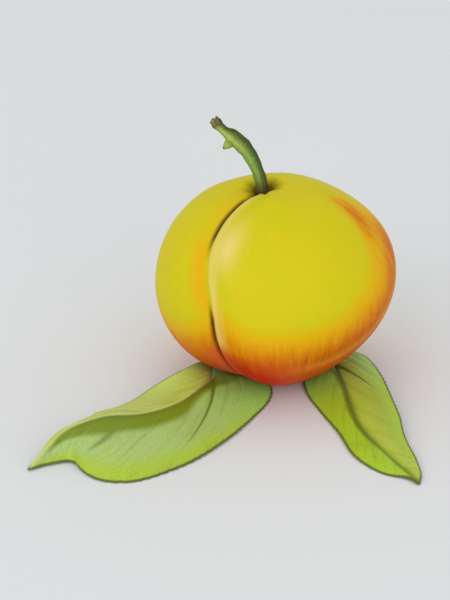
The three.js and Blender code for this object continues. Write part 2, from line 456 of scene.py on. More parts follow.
class PeachFruitSettings(bpy.types.PropertyGroup):
    radius: length("Radius", "Half the width across the cheeks",
                   (FRUIT_HIGH.y - FRUIT_LOW.y) / 2)
    half_height: length("Half height", "Half the height along the stalk axis", 28.9 * MM)
    rest_radius: length("Rest radius", "Radius of the flat underneath", 7 * MM)
    lean: angle("Lean", "How far the stalk end leans to -X", 5)
    suture_angle: angle("Suture angle", "Where the suture runs, from the front towards +X", -33)
    suture_depth: length("Suture depth", "Depth of the sharp line in the suture", 1.2 * MM)
    yellow: colour("Yellow", "Ground colour of the skin", 214, 199, 26)
    lime: colour("Lime", "Greener clouds in the ground colour", 198, 200, 22)
    gold: colour("Gold", "Where the blush begins", 230, 177, 16)
    orange: colour("Orange", "The middle of the blush", 222, 138, 14)
    deep_orange: colour("Deep orange", "The strong part of the blush", 210, 96, 14)
    red: colour("Red", "The deepest blush", 200, 40, 18)
    # brown: painted shade in the suture's crease and in the cavity round the stalk
    brown: colour("Suture brown", "The bottom of the suture, and the cavity", 84, 44, 8)
    # pale and pink: painted highlight on the right lobe's lip (pink where it runs into the red), high on
    # the lobe and in the glint; pale is also the freckles' colour and pink the left toe's streaks
    pale: colour("Pale rim", "The lit lip of the right lobe", 238, 214, 128)
    pink: colour("Pink", "The lobes beside the suture, where they turn red", 250, 132, 84)
    # tan: the patch's own colour, and painted shade in the crescent inside the right limb
    tan: colour("Tan", "Streaks far round the right lobe", 176, 86, 14)


class PeachStalkSettings(bpy.types.PropertyGroup):
    green: colour("Green", "Middle of the stalk", 84, 146, 38)
    olive: colour("Olive", "Upper stalk", 150, 160, 44)
    # pale and dark: painted highlight and painted shade along the stalk
    pale: colour("Pale streak", "Lengthwise streak on the front", 182, 196, 104)
    dark: colour("Dark streak", "Lengthwise streak beside it", 46, 62, 10)
    brown: colour("Brown", "Foot and bark flecks", 78, 62, 16)
    wood: colour("Wood", "The torn end", 176, 178, 108)


class PeachLeafSettings(bpy.types.PropertyGroup):
    half_thickness: length("Half thickness", "Half the thickness of the blade", 0.2 * MM)
    vein_step: share("Vein step", "Share of the length from one side vein to the next", 0.122)
    teeth: IntProperty(name="Teeth", description="Fine teeth along each edge", default=62, min=0)
    grey_green: colour("Grey green", "Middle of the left leaf's near half", 172, 198, 112)
    pale_green: colour("Pale green", "Far half of the left leaf", 194, 208, 72)
    yellow_green: colour("Yellow green", "Edges of the left leaf", 174, 200, 54)
    bright_green: colour("Bright green", "Left half of the right leaf", 170, 204, 40)
    soft_green: colour("Soft green", "Right half of the right leaf", 168, 190, 54)
    dark_green: colour("Dark green", "Veins and shading", 92, 108, 16)
    # painted shade beside the midrib, as a fold would cast
    fold_shade_green: colour("Fold green", "The fold beside the midrib", 120, 140, 18)
    # painted light: the leaves' bases under the fruit are painted paler against the fruit's shadow
    base_lit_yellow: colour("Base yellow", "The base of the left leaf's far half", 212, 252, 110)
    base_lit_green: colour("Base green", "The pale base of the other halves", 172, 246, 116)
    # the left leaf's midrib is pale green, and painted paler still as a highlight along the fold
    rib_cream_and_highlight: colour("Rib cream", "The pale midrib of the left leaf", 208, 214, 124)
    edge_brown: colour("Edge brown", "Thin line along the teeth", 84, 80, 28)


class PeachStageSettings(bpy.types.PropertyGroup):
    floor: colour("Floor", "The plain floor", 231, 233, 233)
    floor_width: length("Floor width", "Width of the floor", 6.0)
    aim: FloatVectorProperty(name="Aim", description="Point the camera looks at", size=3,
                             subtype="XYZ", unit="LENGTH", default=(-0.0133, -0.0028, 0.0225))
    distance: length("Distance", "From the aim point to the camera", 0.471)
    elevation: angle("Elevation", "Height of the camera above the horizon", 25)
    lens: FloatProperty(name="Lens", description="Focal length in millimetres", default=100.0)


# ======== fruit ========

def fruit_skin(polar, turn, fruit):
    """Points of the skin, from the polar angle off the stalk end and the turn from the suture.

    An ellipsoid. Along its normal, a sharp line, a wide valley and a left lobe are sunk and a right
    lobe is raised, each by a bell of the distance across the suture, or by a sharper one for the line,
    that fades out near the poles. A lower flank is flattened by a high power of the cosine from where
    it faces, and slow waves add a fraction of a millimetre. A bell-shaped cavity with a puckered rim,
    and a socket for the stalk, are taken off the height. The whole is then leant over, and what falls
    below the floor is pressed flat.
    """
    height, ring = np.cos(polar), np.sin(polar)
    azimuth = fruit.suture_angle - SUTURE_SWING * smoothstep(height) + turn
    direction = np.stack([ring * np.sin(azimuth), -ring * np.cos(azimuth), height], -1)
    size = np.array([fruit.radius, fruit.radius, fruit.half_height])
    normal = unit(direction / size)
    across = fruit.radius * ring * np.sin(turn)
    along = fruit.radius * ring * np.cos(turn)

    end = MM * blend(*SUTURE_END, (1 + height) / 2)
    near_line = smoothstep((along - end) / SUTURE_FADE)
    depth = fruit.suture_depth * (0.30 + 0.70 * line_strength(polar))
    line = depth * np.exp(-((np.abs(across) / SUTURE_WIDTH) ** 1.2))
    valley = VALLEY_DEPTH * bell(across, LOBE_WIDTH)
    right = RIGHT_LOBE_RISE * bell_at(across, LOBE_PLACE, LOBE_WIDTH)
    left = LEFT_LOBE_FALL * bell_at(across, -LOBE_PLACE, LOBE_WIDTH)
    lobes = (right - line - valley - left) * near_line
    flank = np.clip(direction @ FLANK_FACING, 0, 1) ** 7
    waves = ripple((azimuth, polar), (0.16, 3, 2, 0.7), (0.12, 5, -3, 2.1), (0.08, 8, 5, 4.0),
                   (0.10, 2, 7, 1.2)) * ring * smoothstep((height + 0.9) / 0.5)
    points = direction * size + normal * (lobes - FLANK_FALL * flank + MM * waves)[..., None]

    points[..., 0] += POLE_SHIFT * smoothstep((height - 0.2) / 0.8)
    reach = np.hypot(points[..., 0] - POLE_SHIFT, points[..., 1])
    pucker = 1 + 0.10 * np.sin(7 * azimuth + 0.6) + 0.06 * np.sin(13 * azimuth)
    cavity = CAVITY_DEPTH * bell(reach, CAVITY_WIDTH * pucker)
    socket = SOCKET_DEPTH * smoothstep((SOCKET_RADIUS - reach) / SOCKET_SLOPE)
    points[..., 2] -= np.where(height > 0, cavity + socket, 0)

    lean = fruit.lean
    x = points[..., 0] * np.cos(lean) - points[..., 2] * np.sin(lean)
    z = points[..., 0] * np.sin(lean) + points[..., 2] * np.cos(lean)
    wide, tall = fruit.radius, fruit.half_height
    centre_height = np.hypot(wide * np.sin(lean), tall * np.cos(lean))
    centre_shift = (wide ** 2 - tall ** 2) * np.sin(lean) * np.cos(lean) / centre_height
    rest_cut = tall * (1 - np.sqrt(1 - (fruit.rest_radius / wide) ** 2))
    z = np.maximum(z + centre_height - rest_cut, 0)
    points = np.stack([x + centre_shift, points[..., 1], z], -1)
    return points, fruit_marks(polar, azimuth, across / MM, near_line, direction)


def line_strength(polar):
    """How sharp the suture is, and how dark the painted shade in its crease is: full by the stalk, nearly
    gone half way down the front, strong again below and weaker underneath. Each change is a smooth
    step of the angle off the stalk end."""
    degrees = np.degrees(polar)
    lost_halfway = 0.95 * smoothstep((degrees - 36) / 20)
    back_below = 0.85 * smoothstep((degrees - 74) / 16)
    lost_underneath = 0.4 * smoothstep((degrees - 108) / 22)
    return 1 - lost_halfway + back_below - lost_underneath


def fruit_marks(polar, azimuth, across, near_line, direction):
    """Painted fields of the skin.

    The yellow cheeks face the front, the stalk end and the left. From each, the blush is nought at its
    own angle and one 60 degrees further on, and the least of them counts, by a soft minimum. It levels
    off at orange in front, at red underneath in front and at gold behind.
    A small patch and a crescent of painted shade lie far round to the right, with a paler glint of
    painted reflected light outside the crescent, and a painted highlight lies high on the right lobe:
    each is a bell about its place. across counts millimetres over the suture, and grain changes fast
    round the fruit and slowly down it. hind, foot and cavity say how far back, how low and how near the
    stalk the skin is.
    """
    height, ring = np.cos(polar), np.sin(polar)

    def degrees_from(*facing):
        return np.degrees(np.arccos(np.clip(direction @ unit(np.array(facing)), -1, 1)))

    spread = 1 / 60
    softness = 0.05
    gold_behind, more_in_front, more_underneath = 0.22, 0.16, 0.52
    foremost = smoothstep((0.45 - direction[..., 1]) / 0.7)
    underneath = smoothstep((-0.15 - height) / 0.4)
    level = gold_behind + more_in_front * foremost + more_underneath * underneath * foremost
    total = np.exp(-level / softness)
    for *facing, reach in YELLOW_CHEEKS:
        total = total + np.exp((reach - degrees_from(*facing)) * spread / softness)
    blush = -softness * np.log(total)
    from_front = degrees_from(*YELLOW_CHEEKS[0][:3])
    rightward = smoothstep((direction @ SHADE_CRESCENT_FACING - 0.30) / 0.35)
    low = smoothstep((-0.12 - height) / 0.15)
    bloom = bell_at(across, *HIGHLIGHT_ACROSS) * bell_at(np.degrees(polar), *HIGHLIGHT_DOWN)
    return {
        "blush": blush,
        "patch": bell_at(from_front, *PATCH) * bell(degrees_from(*PATCH_FACING), PATCH_REACH),
        "crescent": bell_at(from_front, *SHADE_CRESCENT) * rightward,
        "glint": bell_at(from_front, *GLINT) * rightward * low,
        "hind": smoothstep((direction[..., 1] + 0.25) / 0.5),
        "bloom": bloom * near_line,
        "across": across,
        "front": near_line,
        "line": line_strength(polar) * near_line,
        "cavity": bell(ring, 0.19) * (height > 0),
        "foot": smoothstep((-0.08 - height) / 0.45),
        "grain": as_vector((6, 6, 0.8), np.sin(azimuth), np.cos(azimuth), polar),
    }


def peach_skin(fruit):
    """Lemon skin with limy clouds, which turns gold, orange and red where it blushes, with streaks,
    freckles and down, and along the suture a painted highlight on the lip and a brown line of painted
    shade."""
    paint = Paint("peach_skin")
    place = paint.place()
    grain = paint.attribute("grain", "Vector")
    blush, across, front, line, foot = paint.attributes("blush", "across", "front", "line", "foot")
    hind, glint, bloom, cavity = paint.attributes("hind", "glint", "bloom", "cavity")

    clouds = paint.noise(place, 70.0, 4.0, 0.55) - 0.5
    mottle = paint.noise(place, 320.0, 3.0, 0.6) - 0.5
    streaks = paint.noise(grain, 4.0, 5.0, 0.62) - 0.5
    fine_streaks = paint.noise(grain, 14.0, 3.0, 0.55) - 0.5

    # the blush is stronger at the suture's foot, and more streaked and clouded as it deepens
    toe = paint.between(foot, 0.22, 0.95) * paint.peak(across - 5.5, 15.0) * front
    strong = paint.between(blush, 0.05, 0.55)
    patch = (paint.attribute("patch") * (0.32 + streaks * 0.9 + fine_streaks * 0.7)).at_least(0.0)
    crescent = (paint.attribute("crescent") * (0.5 + streaks * 2.2)).at_most(1.0).at_least(0.0)
    drift = (paint.noise(place, 38.0, 2.0, 0.5) - 0.5) * hind * 0.42
    # the crescent deepens the blush as painted shade, and the glint lightens it as painted reflected
    # light
    flush = (blush + toe * 0.30 + patch * 0.8 + crescent * 0.14 - glint * 0.15
             + drift * paint.between(blush, 0.06, 0.20) + clouds * 0.14 + mottle * 0.08 * strong
             + streaks * (0.05 + strong * 0.36) + fine_streaks * strong * 0.26)
    # the left lobe is at least gold beside the suture
    beside = paint.band(across, -11.0, -1.0, -1.0, 0.5) * front
    golden = 0.19 - line * 0.09 + foot * 0.22 + clouds * 0.10 + streaks * 0.08
    flush = flush.at_least(beside * golden)
    blushed = paint.ramp(flush, [
        (0.04, fruit.yellow), (0.20, fruit.gold), (0.34, fruit.orange), (0.55, fruit.deep_orange),
        (0.90, fruit.red)])

    # the ground colour is greener in clouds, most of all along the right lobe
    tone = paint.noise(place, 30.0, 2.0, 0.5)
    unblushed = 1 - paint.between(flush, 0.04, 0.18)
    right_lobe = paint.band(across, 2.0, 7.0, 11.0, 22.0) * front
    greener = paint.between(clouds + streaks * 0.7, -0.10, 0.22) * (0.26 + right_lobe * 0.50)
    # the left lobe's toe is streaked with pink
    left_toe = paint.band(across, -8.0, -2.0, -0.8, 0.4) * front * paint.between(foot, 0.35, 0.80)
    freckles = 1 - paint.between(paint.cells(place, 420.0), 0.08, 0.22)
    scattered = paint.between(paint.noise(place, 120.0, 2.0), 0.45, 0.6)
    # painted highlight: the lip of the right lobe is painted pale, and pinkish where it runs into the red
    lip_highlight_breakup = paint.between(paint.noise(grain, 3.0, 2.0), 0.30, 0.60) * 0.5 + 0.5
    lip = paint.band(across, 0.6, 1.4, 2.0, 5.5) * front * lip_highlight_breakup
    lip_highlight_colour = paint.mix(paint.between(foot, 0.05, 0.50), fruit.pale, fruit.pink)
    # painted shade: the suture's crease is painted brown, and redder at the foot
    groove = paint.peak(across, 1.35) * line * (1.1 + streaks)
    groove_shade_colour = paint.mix(paint.between(foot, 0.25, 0.85) * 0.45, fruit.brown, fruit.red)
    skin = paint.coats(
        blushed,
        (paint.between(tone, 0.50, 0.80) * 0.20, fruit.gold),
        (greener * unblushed, fruit.lime),
        # tan patch as the skin's own colour, and painted shade in the crescent
        ((crescent * 0.42 + patch * 0.55).at_most(0.38), fruit.tan),
        (glint * 0.07, fruit.pale),
        (left_toe * (0.34 + streaks * 0.5), fruit.pink),
        (freckles * scattered * 0.08, fruit.pale),
        # painted highlight high on the right lobe
        (bloom * (0.95 + clouds * 0.9), fruit.pale),
        # painted highlight on the right lobe's lip beside the suture
        (lip * (0.60 - paint.between(foot, 0.20, 0.70) * 0.22), lip_highlight_colour),
        # painted shade in the suture's crease
        (groove.at_most(1.0).at_least(0.0) * 0.95, groove_shade_colour),
        # painted shade: the cavity round the stalk is darkened brown
        (paint.between(cavity, 0.30, 0.95) * 0.80, fruit.brown))

    down = paint.noise(place, 1500.0, 2.0, 0.6)
    pores = paint.noise(place, 500.0, 3.0, 0.6)
    normal = paint.bump(pores, 0.25 * MM, 0.30)
    normal = paint.bump(down, 0.12 * MM, 0.45, normal)
    roughness = 0.47 + mottle * 0.12 + down * 0.06
    return paint.finish(
        skin, roughness, normal, Specular_IOR_Level=0.05, Sheen_Weight=0.01, Sheen_Roughness=0.4,
        Sheen_Tint=(1.0, 0.75, 0.3), Subsurface_Weight=0.06, Subsurface_Radius=(1.0, 0.45, 0.12),
        Subsurface_Scale=2.0 * MM)


class PEACH_OT_fruit(bpy.types.Operator):
    """Grows the fruit"""
    bl_idname = "peach.fruit"
    bl_label = "Fruit"

    ROWS = 250
    COLUMNS = 340
    CROWDING = 1.25     # draws the columns towards the suture

    def execute(self, context):
        fruit = context.scene.peach_fruit
        turn = np.pi * crowd(np.linspace(-1, 1, self.COLUMNS, endpoint=False), self.CROWDING)
        polar = np.linspace(0, np.pi, self.ROWS + 1)[1:-1]
        polar, turn = np.meshgrid(polar, turn, indexing="ij")
        points, marks = fruit_skin(polar, turn, fruit)
        piece = ring_skin("peach_fruit", points, marks)
        finish_piece(piece, peach_skin(fruit), "peach_skin", "fruit")
        return {"FINISHED"}


# ======== stalk ========

def tube_frame(stations, t):
    """Centre, two directions across and the direction along a curve through the stations."""
    centre = through(stations, t)
    along = unit(onward(stations, t)[..., :3])
    across = unit(np.cross([0.0, 1.0, 0.0], along))
    return centre, across, np.cross(along, across), along


def stalk_skin(t, turn):
    """A tube along the stations, whose radius carries seven ridges, eleven finer ones, slow lumps and
    two swollen nodes. Past t = 1 the rings turn inwards and sink, so that the end is a dished face, and
    a sum of sines round the last rings makes its lip ragged."""
    body = np.minimum(t, 1.0)
    centre, across, aside, along = tube_frame(STALK_STATIONS, body)
    radius = centre[..., 3]
    ridges = 1 + 0.045 * np.sin(7 * turn + 2.2 * body) + 0.03 * np.sin(11 * turn - 9 * body)
    lumps = 1 + 0.03 * np.sin(37 * body) + 0.025 * np.sin(61 * body + 2 * turn)
    nodes = 1 + 0.05 * bell(body - 0.70, 0.03) + 0.12 * bell(body - 0.96, 0.04)
    inward = np.clip((t - 1.0) / 0.1, 0, 1)
    radius = radius * ridges * lumps * nodes * (1 - 0.96 * inward)
    ragged = 0.5 * np.sin(turn + 0.4) + 0.28 * np.sin(3 * turn + 1.0) + 0.16 * np.sin(8 * turn)
    torn = MM * ragged * smoothstep((body - 0.93) / 0.07) * (1 - inward)
    dish = MM * (-0.55 * inward + 0.18 * np.sin(9 * turn + 14 * inward) * inward * (1 - inward) * 4)
    return (centre[..., :3]
            + across * (radius * np.cos(turn))[..., None]
            + aside * (radius * np.sin(turn))[..., None]
            + along * (torn + dish)[..., None])


def bark_streaks(turn):
    """Two lengthwise streaks: bells of the angle round the stalk, a painted highlight in front and
    painted shade further to +X."""
    def from_middle(middle):
        return (turn - middle + np.pi) % (2 * np.pi) - np.pi
    return {"lit": bell(from_middle(4.55), 0.45), "shaded": bell(from_middle(5.9), 0.85)}


def bud_skin(t, turn):
    """A side bud: an egg along its aim, with two scales whose lips stand out as steps of the radius."""
    aim = unit(BUD_AIM)
    across = unit(np.cross(aim, [0.0, 1.0, 0.0]))
    aside = np.cross(aim, across)
    egg = np.sin(np.pi * t) ** 0.55 * (1.12 - 0.20 * t)
    scales = 0.10 * smoothstep(((0.45 + 0.10 * np.sin(turn)) - t) / 0.05)
    scales = scales + 0.10 * smoothstep(((0.72 + 0.08 * np.sin(turn + 2.5)) - t) / 0.05)
    radius = BUD_RADIUS * egg * (1 + scales) * (1 + 0.04 * np.sin(5 * turn))
    ahead = MM * (-2.1 + 4.2 * t)
    return (BUD_PLACE + aim * ahead[..., None]
            + across * (radius * np.cos(turn))[..., None]
            + aside * (radius * np.sin(turn))[..., None])


def stalk_bark(stalk):
    """Green bark, olive higher up, with lengthwise fibres, a painted highlight and a streak of painted
    shade, pale lenticels and brown patches, a brown foot and tip, and torn wood."""
    paint = Paint("stalk_bark")
    place = paint.place()
    grain = paint.attribute("grain", "Vector")
    along, lit, shaded, wood = paint.attributes("along", "lit", "shaded", "wood")
    fibres = paint.noise(grain, 4.0, 4.0, 0.6)
    patches = paint.noise(place, 260.0, 3.0, 0.6)
    lit = lit * (0.30 + paint.between(along, 0.35, 0.75) * 0.45 + fibres * 0.4)
    shaded = shaded * (0.7 + fibres * 0.5)
    lenticels = 1 - paint.between(paint.cells(place, 900.0), 0.14, 0.28)
    foot = 1 - paint.between(along, 0.05, 0.32)
    tip = paint.between(along, 0.88, 0.98)
    torn = paint.mix(paint.between(fibres, 0.35, 0.6), stalk.wood, stalk.brown)
    bark = paint.coats(
        stalk.green,
        (paint.between(along, 0.35, 0.85), stalk.olive),
        (paint.between(fibres, 0.40, 0.75) * 0.55, stalk.olive),
        (paint.between(patches, 0.55, 0.80) * 0.65, stalk.brown),
        # painted highlight in front, then painted shade beside it
        (lit.at_most(1.0), stalk.pale),
        (shaded.at_most(1.0), stalk.dark),
        (lenticels * 0.22, stalk.wood),
        (foot, stalk.brown),
        (tip * 0.75, stalk.brown),
        (wood, torn))
    normal = paint.bump(fibres, 0.25 * MM, 0.8)
    normal = paint.bump(patches, 0.15 * MM, 0.6, normal)
    return paint.finish(bark, 0.52 + patches * 0.25, normal, Specular_IOR_Level=0.4)


class PEACH_OT_stalk(bpy.types.Operator):
    """Grows the stalk with its torn tip and side bud"""
    bl_idname = "peach.stalk"
    bl_label = "Stalk"

    ROWS = 200
    TIP_ROWS = 12
    BUD_ROWS = 60
    COLUMNS = 72

    def execute(self, context):
        stalk = context.scene.peach_stalk
        material = stalk_bark(stalk)
        turns = np.linspace(0, 2 * np.pi, self.COLUMNS, endpoint=False)
        steps = np.concatenate([np.linspace(0, 1, self.ROWS), np.linspace(1.004, 1.1, self.TIP_ROWS)])
        t, turn = np.meshgrid(steps, turns, indexing="ij")
        piece = ring_skin("peach_stalk", stalk_skin(t, turn), {
            **bark_streaks(turn),
            "along": np.minimum(t, 1.0),
            "wood": smoothstep((t - 1.0) / 0.02),
            "grain": as_vector(BARK_SWING, np.cos(turn), np.sin(turn), t),
        })
        finish_piece(piece, material, "stalk_bark", "stalk")

        t, turn = np.meshgrid(np.linspace(0.01, 0.99, self.BUD_ROWS), turns, indexing="ij")
        bud = ring_skin("peach_stalk_bud", bud_skin(t, turn), {
            "lit": smoothstep((t - 0.30) / 0.3) * 0.8,
            "shaded": smoothstep((t - 0.85) / 0.1),
            "along": 0.55 + 0.35 * smoothstep((t - 0.80) / 0.2),
            "wood": np.zeros_like(t),
            "grain": as_vector(BARK_SWING, np.cos(turn), np.sin(turn), t),
        })
        finish_piece(bud, material, "stalk_bark")
        return {"FINISHED"}


# ======== leaves ========

@dataclass
class LeafShape:
    """What sets one leaf apart: its stations, its seed, how far its side veins sweep towards the tip,
    where the first vein leaves the midrib, how far out the strong veins show and which they are, and
    the side, reach, swelling and end of the painted shade beside its midrib."""
    stations: np.ndarray
    seed: float
    sweep: float
    first_vein: float
    vein_end: float
    strong_veins: tuple
    fold_shade_side: int
    fold_shade_reach: float
    fold_shade_swelling: float
    fold_shade_end: float


def leaf_middle(shape, t, across, leaf):
    """The middle surface of a blade: the midrib carried through the stations, with each half reaching
    sideways by its half width and dropping or rising to its edge height.

    The half width rounds out over the base as a quarter circle and carries fine teeth. Between the
    side veins the blade puffs up as a rectified sine, each half is cambered as a parabola, the edge
    waves a little and the midrib lies in a groove.
    """
    row = through(shape.stations, t)
    heading = unit(onward(shape.stations, t)[..., :3] * [1, 1, 0])
    sideways = np.stack([-heading[..., 1], heading[..., 0], 0 * t], -1)
    blade = np.clip((t - BLADE_START) / BLADE_ROUNDING, 0, 1)
    rounding = np.sqrt(1 - (1 - blade) ** 2)
    body = smoothstep(blade)
    plus = across > 0
    away = np.abs(across)
    phase = leaf.teeth * t + shape.seed
    teeth = TOOTH_DEPTH * (phase - np.floor(phase)) ** 1.5 * body * smoothstep((1 - t) / 0.05)
    width = np.where(plus, row[..., 3], row[..., 5]) * rounding
    width = np.maximum(width, LEAF_STALK_RADIUS * (1 - 0.6 * t))
    width = width - teeth * smoothstep((away - 0.93) / 0.07)
    edge = np.where(plus, row[..., 4], row[..., 6])
    drop = np.clip(edge - row[..., 2], -0.9 * width, 0.9 * width)
    reach = np.sqrt(width ** 2 - drop ** 2)

    vein = vein_count(t, across, leaf, shape)
    puff = PUFF_HEIGHT * np.abs(np.sin(np.pi * vein)) ** 0.6 * away ** 0.5 * (1 - away ** 3)
    camber = CAMBER * width * away * (1 - away)
    wave = EDGE_WAVE * np.sin(17 * t + shape.seed + np.where(plus, 0, 2.0)) * away ** 3
    lift = (puff + camber + wave) * body * smoothstep((1 - t) / 0.08)
    groove = MIDRIB_GROOVE * bell(away * width, 0.5 * MM) * body * (1 - 0.6 * t)
    middle = row[..., :3] + sideways * (np.sign(across) * away * reach)[..., None]
    middle[..., 2] += away * drop + lift - groove
    return middle, blade, width, vein


def vein_count(t, across, leaf, shape):
    """Counts side veins: a whole number on each vein. One that leaves the midrib at a fraction s of the
    length has come to s plus sweep times away times (1 - s) where it is away across the half. The
    veins of the -X half leave between those of the other."""
    sweep = shape.sweep * np.abs(across)
    start = (t - sweep) / (1 - sweep)
    return (start - shape.first_vein) / leaf.vein_step + 0.40 * (across < 0)


def leaf_skin(shape, leaf, rows, halves, crowding):
    """Closes a blade round its middle surface, and marks it for its paint.

    The upper face is the middle plus half the thickness along the normal. The lower face is the middle
    less the same, less a rib under the midrib and less the veins. Over the leaf stalk the half
    thickness is a half circle, so that the section is round.
    Painted shade, as a fold would cast, darkens one half beside the midrib: a smooth step of the share
    across, at a reach that swells along the blade. Darker painted shade in the crease is a bell close by
    the midrib within it.
    """
    spread = crowd(np.linspace(-1, 1, 2 * halves + 1), crowding)
    t, across = np.meshgrid(np.linspace(0, 1, rows), spread, indexing="ij")
    middle, blade, width, vein = leaf_middle(shape, t, across, leaf)
    normal = unit(np.cross(np.gradient(middle, axis=0), np.gradient(middle, axis=1)))
    normal = normal * np.sign(normal[..., 2:3])
    away = np.abs(across)
    body = smoothstep(blade)
    round_half = LEAF_STALK_RADIUS * np.sqrt(np.clip(1 - away ** 2, 0.02, 1))
    thin_half = leaf.half_thickness * (1 - 0.45 * away ** 2)
    half = blend(round_half, thin_half, body)
    rib = RIB_DEPTH * bell(away * width, 0.55 * MM) * (1 - 0.8 * t) * body
    from_vein = np.abs(vein - np.round(vein))
    veins_under = VEIN_DEPTH * bell(from_vein, 0.10) * body * (1 - away)
    upper = middle + normal * half[..., None]
    lower = middle - normal * (half + rib + veins_under)[..., None]
    lower[..., 2] = np.maximum(lower[..., 2], LEAF_FLOOR)
    upper[..., 2] = np.maximum(upper[..., 2], lower[..., 2] + 0.5 * leaf.half_thickness)

    # painted shade beside the midrib, as a fold would cast, and darker in its crease
    swelling = smoothstep((t - 0.36) / 0.14) + 1.9 * bell(t - 0.20, 0.07)
    reach = shape.fold_shade_reach + shape.fold_shade_swelling * swelling
    fold = smoothstep((reach + 0.07 - away) / 0.15) * (across * shape.fold_shade_side > 0)
    fold = fold * body * (0.4 + 0.6 * smoothstep((t - 0.20) / 0.12))
    fold_shade_fade = smoothstep((shape.fold_shade_end - t) / 0.10)
    strong = np.isin(np.round(vein), shape.strong_veins) & (across > 0)
    outrun = smoothstep((shape.vein_end - away - 1.1 * np.maximum(t - 0.3, 0)) / 0.3)
    faint = 0.10
    vein_weight = np.where(strong, (1.25 - t) * outrun, faint)
    vein_weight = vein_weight * smoothstep((0.92 - away) / 0.4) * body
    marks = {
        "along": t,
        "across": across,
        "blade": body,
        "fold": fold * fold_shade_fade,
        "crease": bell(away - 0.03, 0.07) * fold * fold_shade_fade,
        "vein": vein,
        "vein_weight": vein_weight,
        "beside": across * width / MM,
        "inset": (1 - away) * width / MM,
        "hatch": as_vector((9, 1.2, 1), vein, away, across > 0),
    }
    marks = {label: both_faces(field, field) for label, field in marks.items()}
    marks["under"] = both_faces(np.zeros_like(t), np.ones_like(t))
    return both_faces(upper, lower), marks


def both_faces(upper, lower):
    """Rows that run over the upper face from edge to edge and back over the lower."""
    return np.concatenate([upper, lower[:, ::-1]], axis=1)


def leaf_blade(name, leaf, glow, plus_colour, minus_colour, minus_lit_base, edge_colour, rib_colour):
    """A satin blade: two-toned halves with bases painted paler as painted light against the fruit's
    shadow, painted shade beside the midrib and darker painted shade in its crease, strong
    and faint side veins with a fine net between, a yellower edge band, a thin brown line along the
    teeth, small blemishes, and a paler, matter underside. glow is how strongly a pale band shows along
    the midrib's +X side."""
    paint = Paint(name)
    place = paint.place()
    along, across, beside, under, blade = paint.attributes("along", "across", "beside", "under", "blade")
    count, weight, inset = paint.attributes("vein", "vein_weight", "inset")
    away = abs(across)
    vein = abs(count - paint.maths("ROUND", count))

    clouds = paint.noise(place, 130.0, 3.0, 0.55)
    speckle = paint.noise(place, 900.0, 3.0, 0.6)
    hatch = paint.noise(paint.attribute("hatch", "Vector"), 1.0, 3.0, 0.55)
    plus_half = paint.between(across, -0.03, 0.03)
    outward = away + along * 0.35 + (clouds - 0.5) * 0.35 + (hatch - 0.5) * 0.35
    # painted light: near their bases, under the fruit, both halves are painted paler against its shadow
    base = 1 - paint.between(along, 0.22, 0.46)
    base_lit_colour = paint.mix(plus_half, minus_lit_base, leaf.base_lit_green)
    beside_rib = paint.band(beside, 0.5, 2.0, 2.5, 8.0) * glow
    net = (1 - paint.between(paint.cells(place, 700.0, "DISTANCE_TO_EDGE"), 0.03, 0.12)) * blade
    tapered = vein * (0.30 + away * 1.5)
    halo = (1 - paint.between(tapered, 0.02, 0.22)) * weight
    side_vein = (1 - paint.between(tapered, 0.03, 0.11)) * weight
    # painted shade beside the midrib
    fold = paint.attribute("fold") * (0.95 + clouds * 0.25) - paint.between(hatch, 0.50, 0.75) * 0.30
    # darker painted shade in the crease by the midrib
    crease = paint.attribute("crease") * (0.5 + hatch)
    midrib = paint.peak(beside, 1.1) * blade
    line = (1 - paint.between(inset + (hatch - 0.5) * 0.6, 0.40, 0.85)) * blade
    spots = 1 - paint.between(paint.cells(place, 95.0), 0.04, 0.09)
    spots = spots * paint.between(speckle, 0.35, 0.5)
    green = paint.coats(
        minus_colour,
        (plus_half, plus_colour),
        (paint.between(outward, 0.78, 1.12), edge_colour),
        # painted light on the bases under the fruit
        (base * 0.85, base_lit_colour),
        (paint.between(clouds, 0.50, 0.75) * 0.16, leaf.dark_green),
        (paint.between(speckle, 0.50, 0.75) * 0.12, leaf.dark_green),
        (paint.between(hatch, 0.52, 0.72) * 0.20, leaf.dark_green),
        (beside_rib * (0.4 + clouds), leaf.pale_green),
        (net * 0.07, leaf.dark_green),
        (halo * 0.35, leaf.dark_green),
        (side_vein * 0.85, leaf.dark_green),
        # painted shade beside the midrib
        (fold.at_most(1.0).at_least(0.0), leaf.fold_shade_green),
        (crease.at_most(1.0) * 0.55, leaf.dark_green),
        # midrib: its own colour, and on the left leaf a painted highlight along the fold
        (midrib * 0.70, rib_colour),
        (line * 0.85, leaf.edge_brown),
        (spots * 0.20, leaf.edge_brown),
        ((1 - blade) * 0.8, leaf.dark_green),
        (under * 0.45, leaf.grey_green))

    relief = halo * -0.35 + net * -0.12 + speckle * 0.25
    normal = paint.bump(relief, 0.30 * MM, 0.6)
    roughness = 0.38 + speckle * 0.16 + under * 0.22
    return paint.finish(
        green, roughness, normal, Specular_IOR_Level=0.35, Subsurface_Weight=0.10,
        Subsurface_Radius=(0.6, 1.0, 0.2), Subsurface_Scale=1.0 * MM)


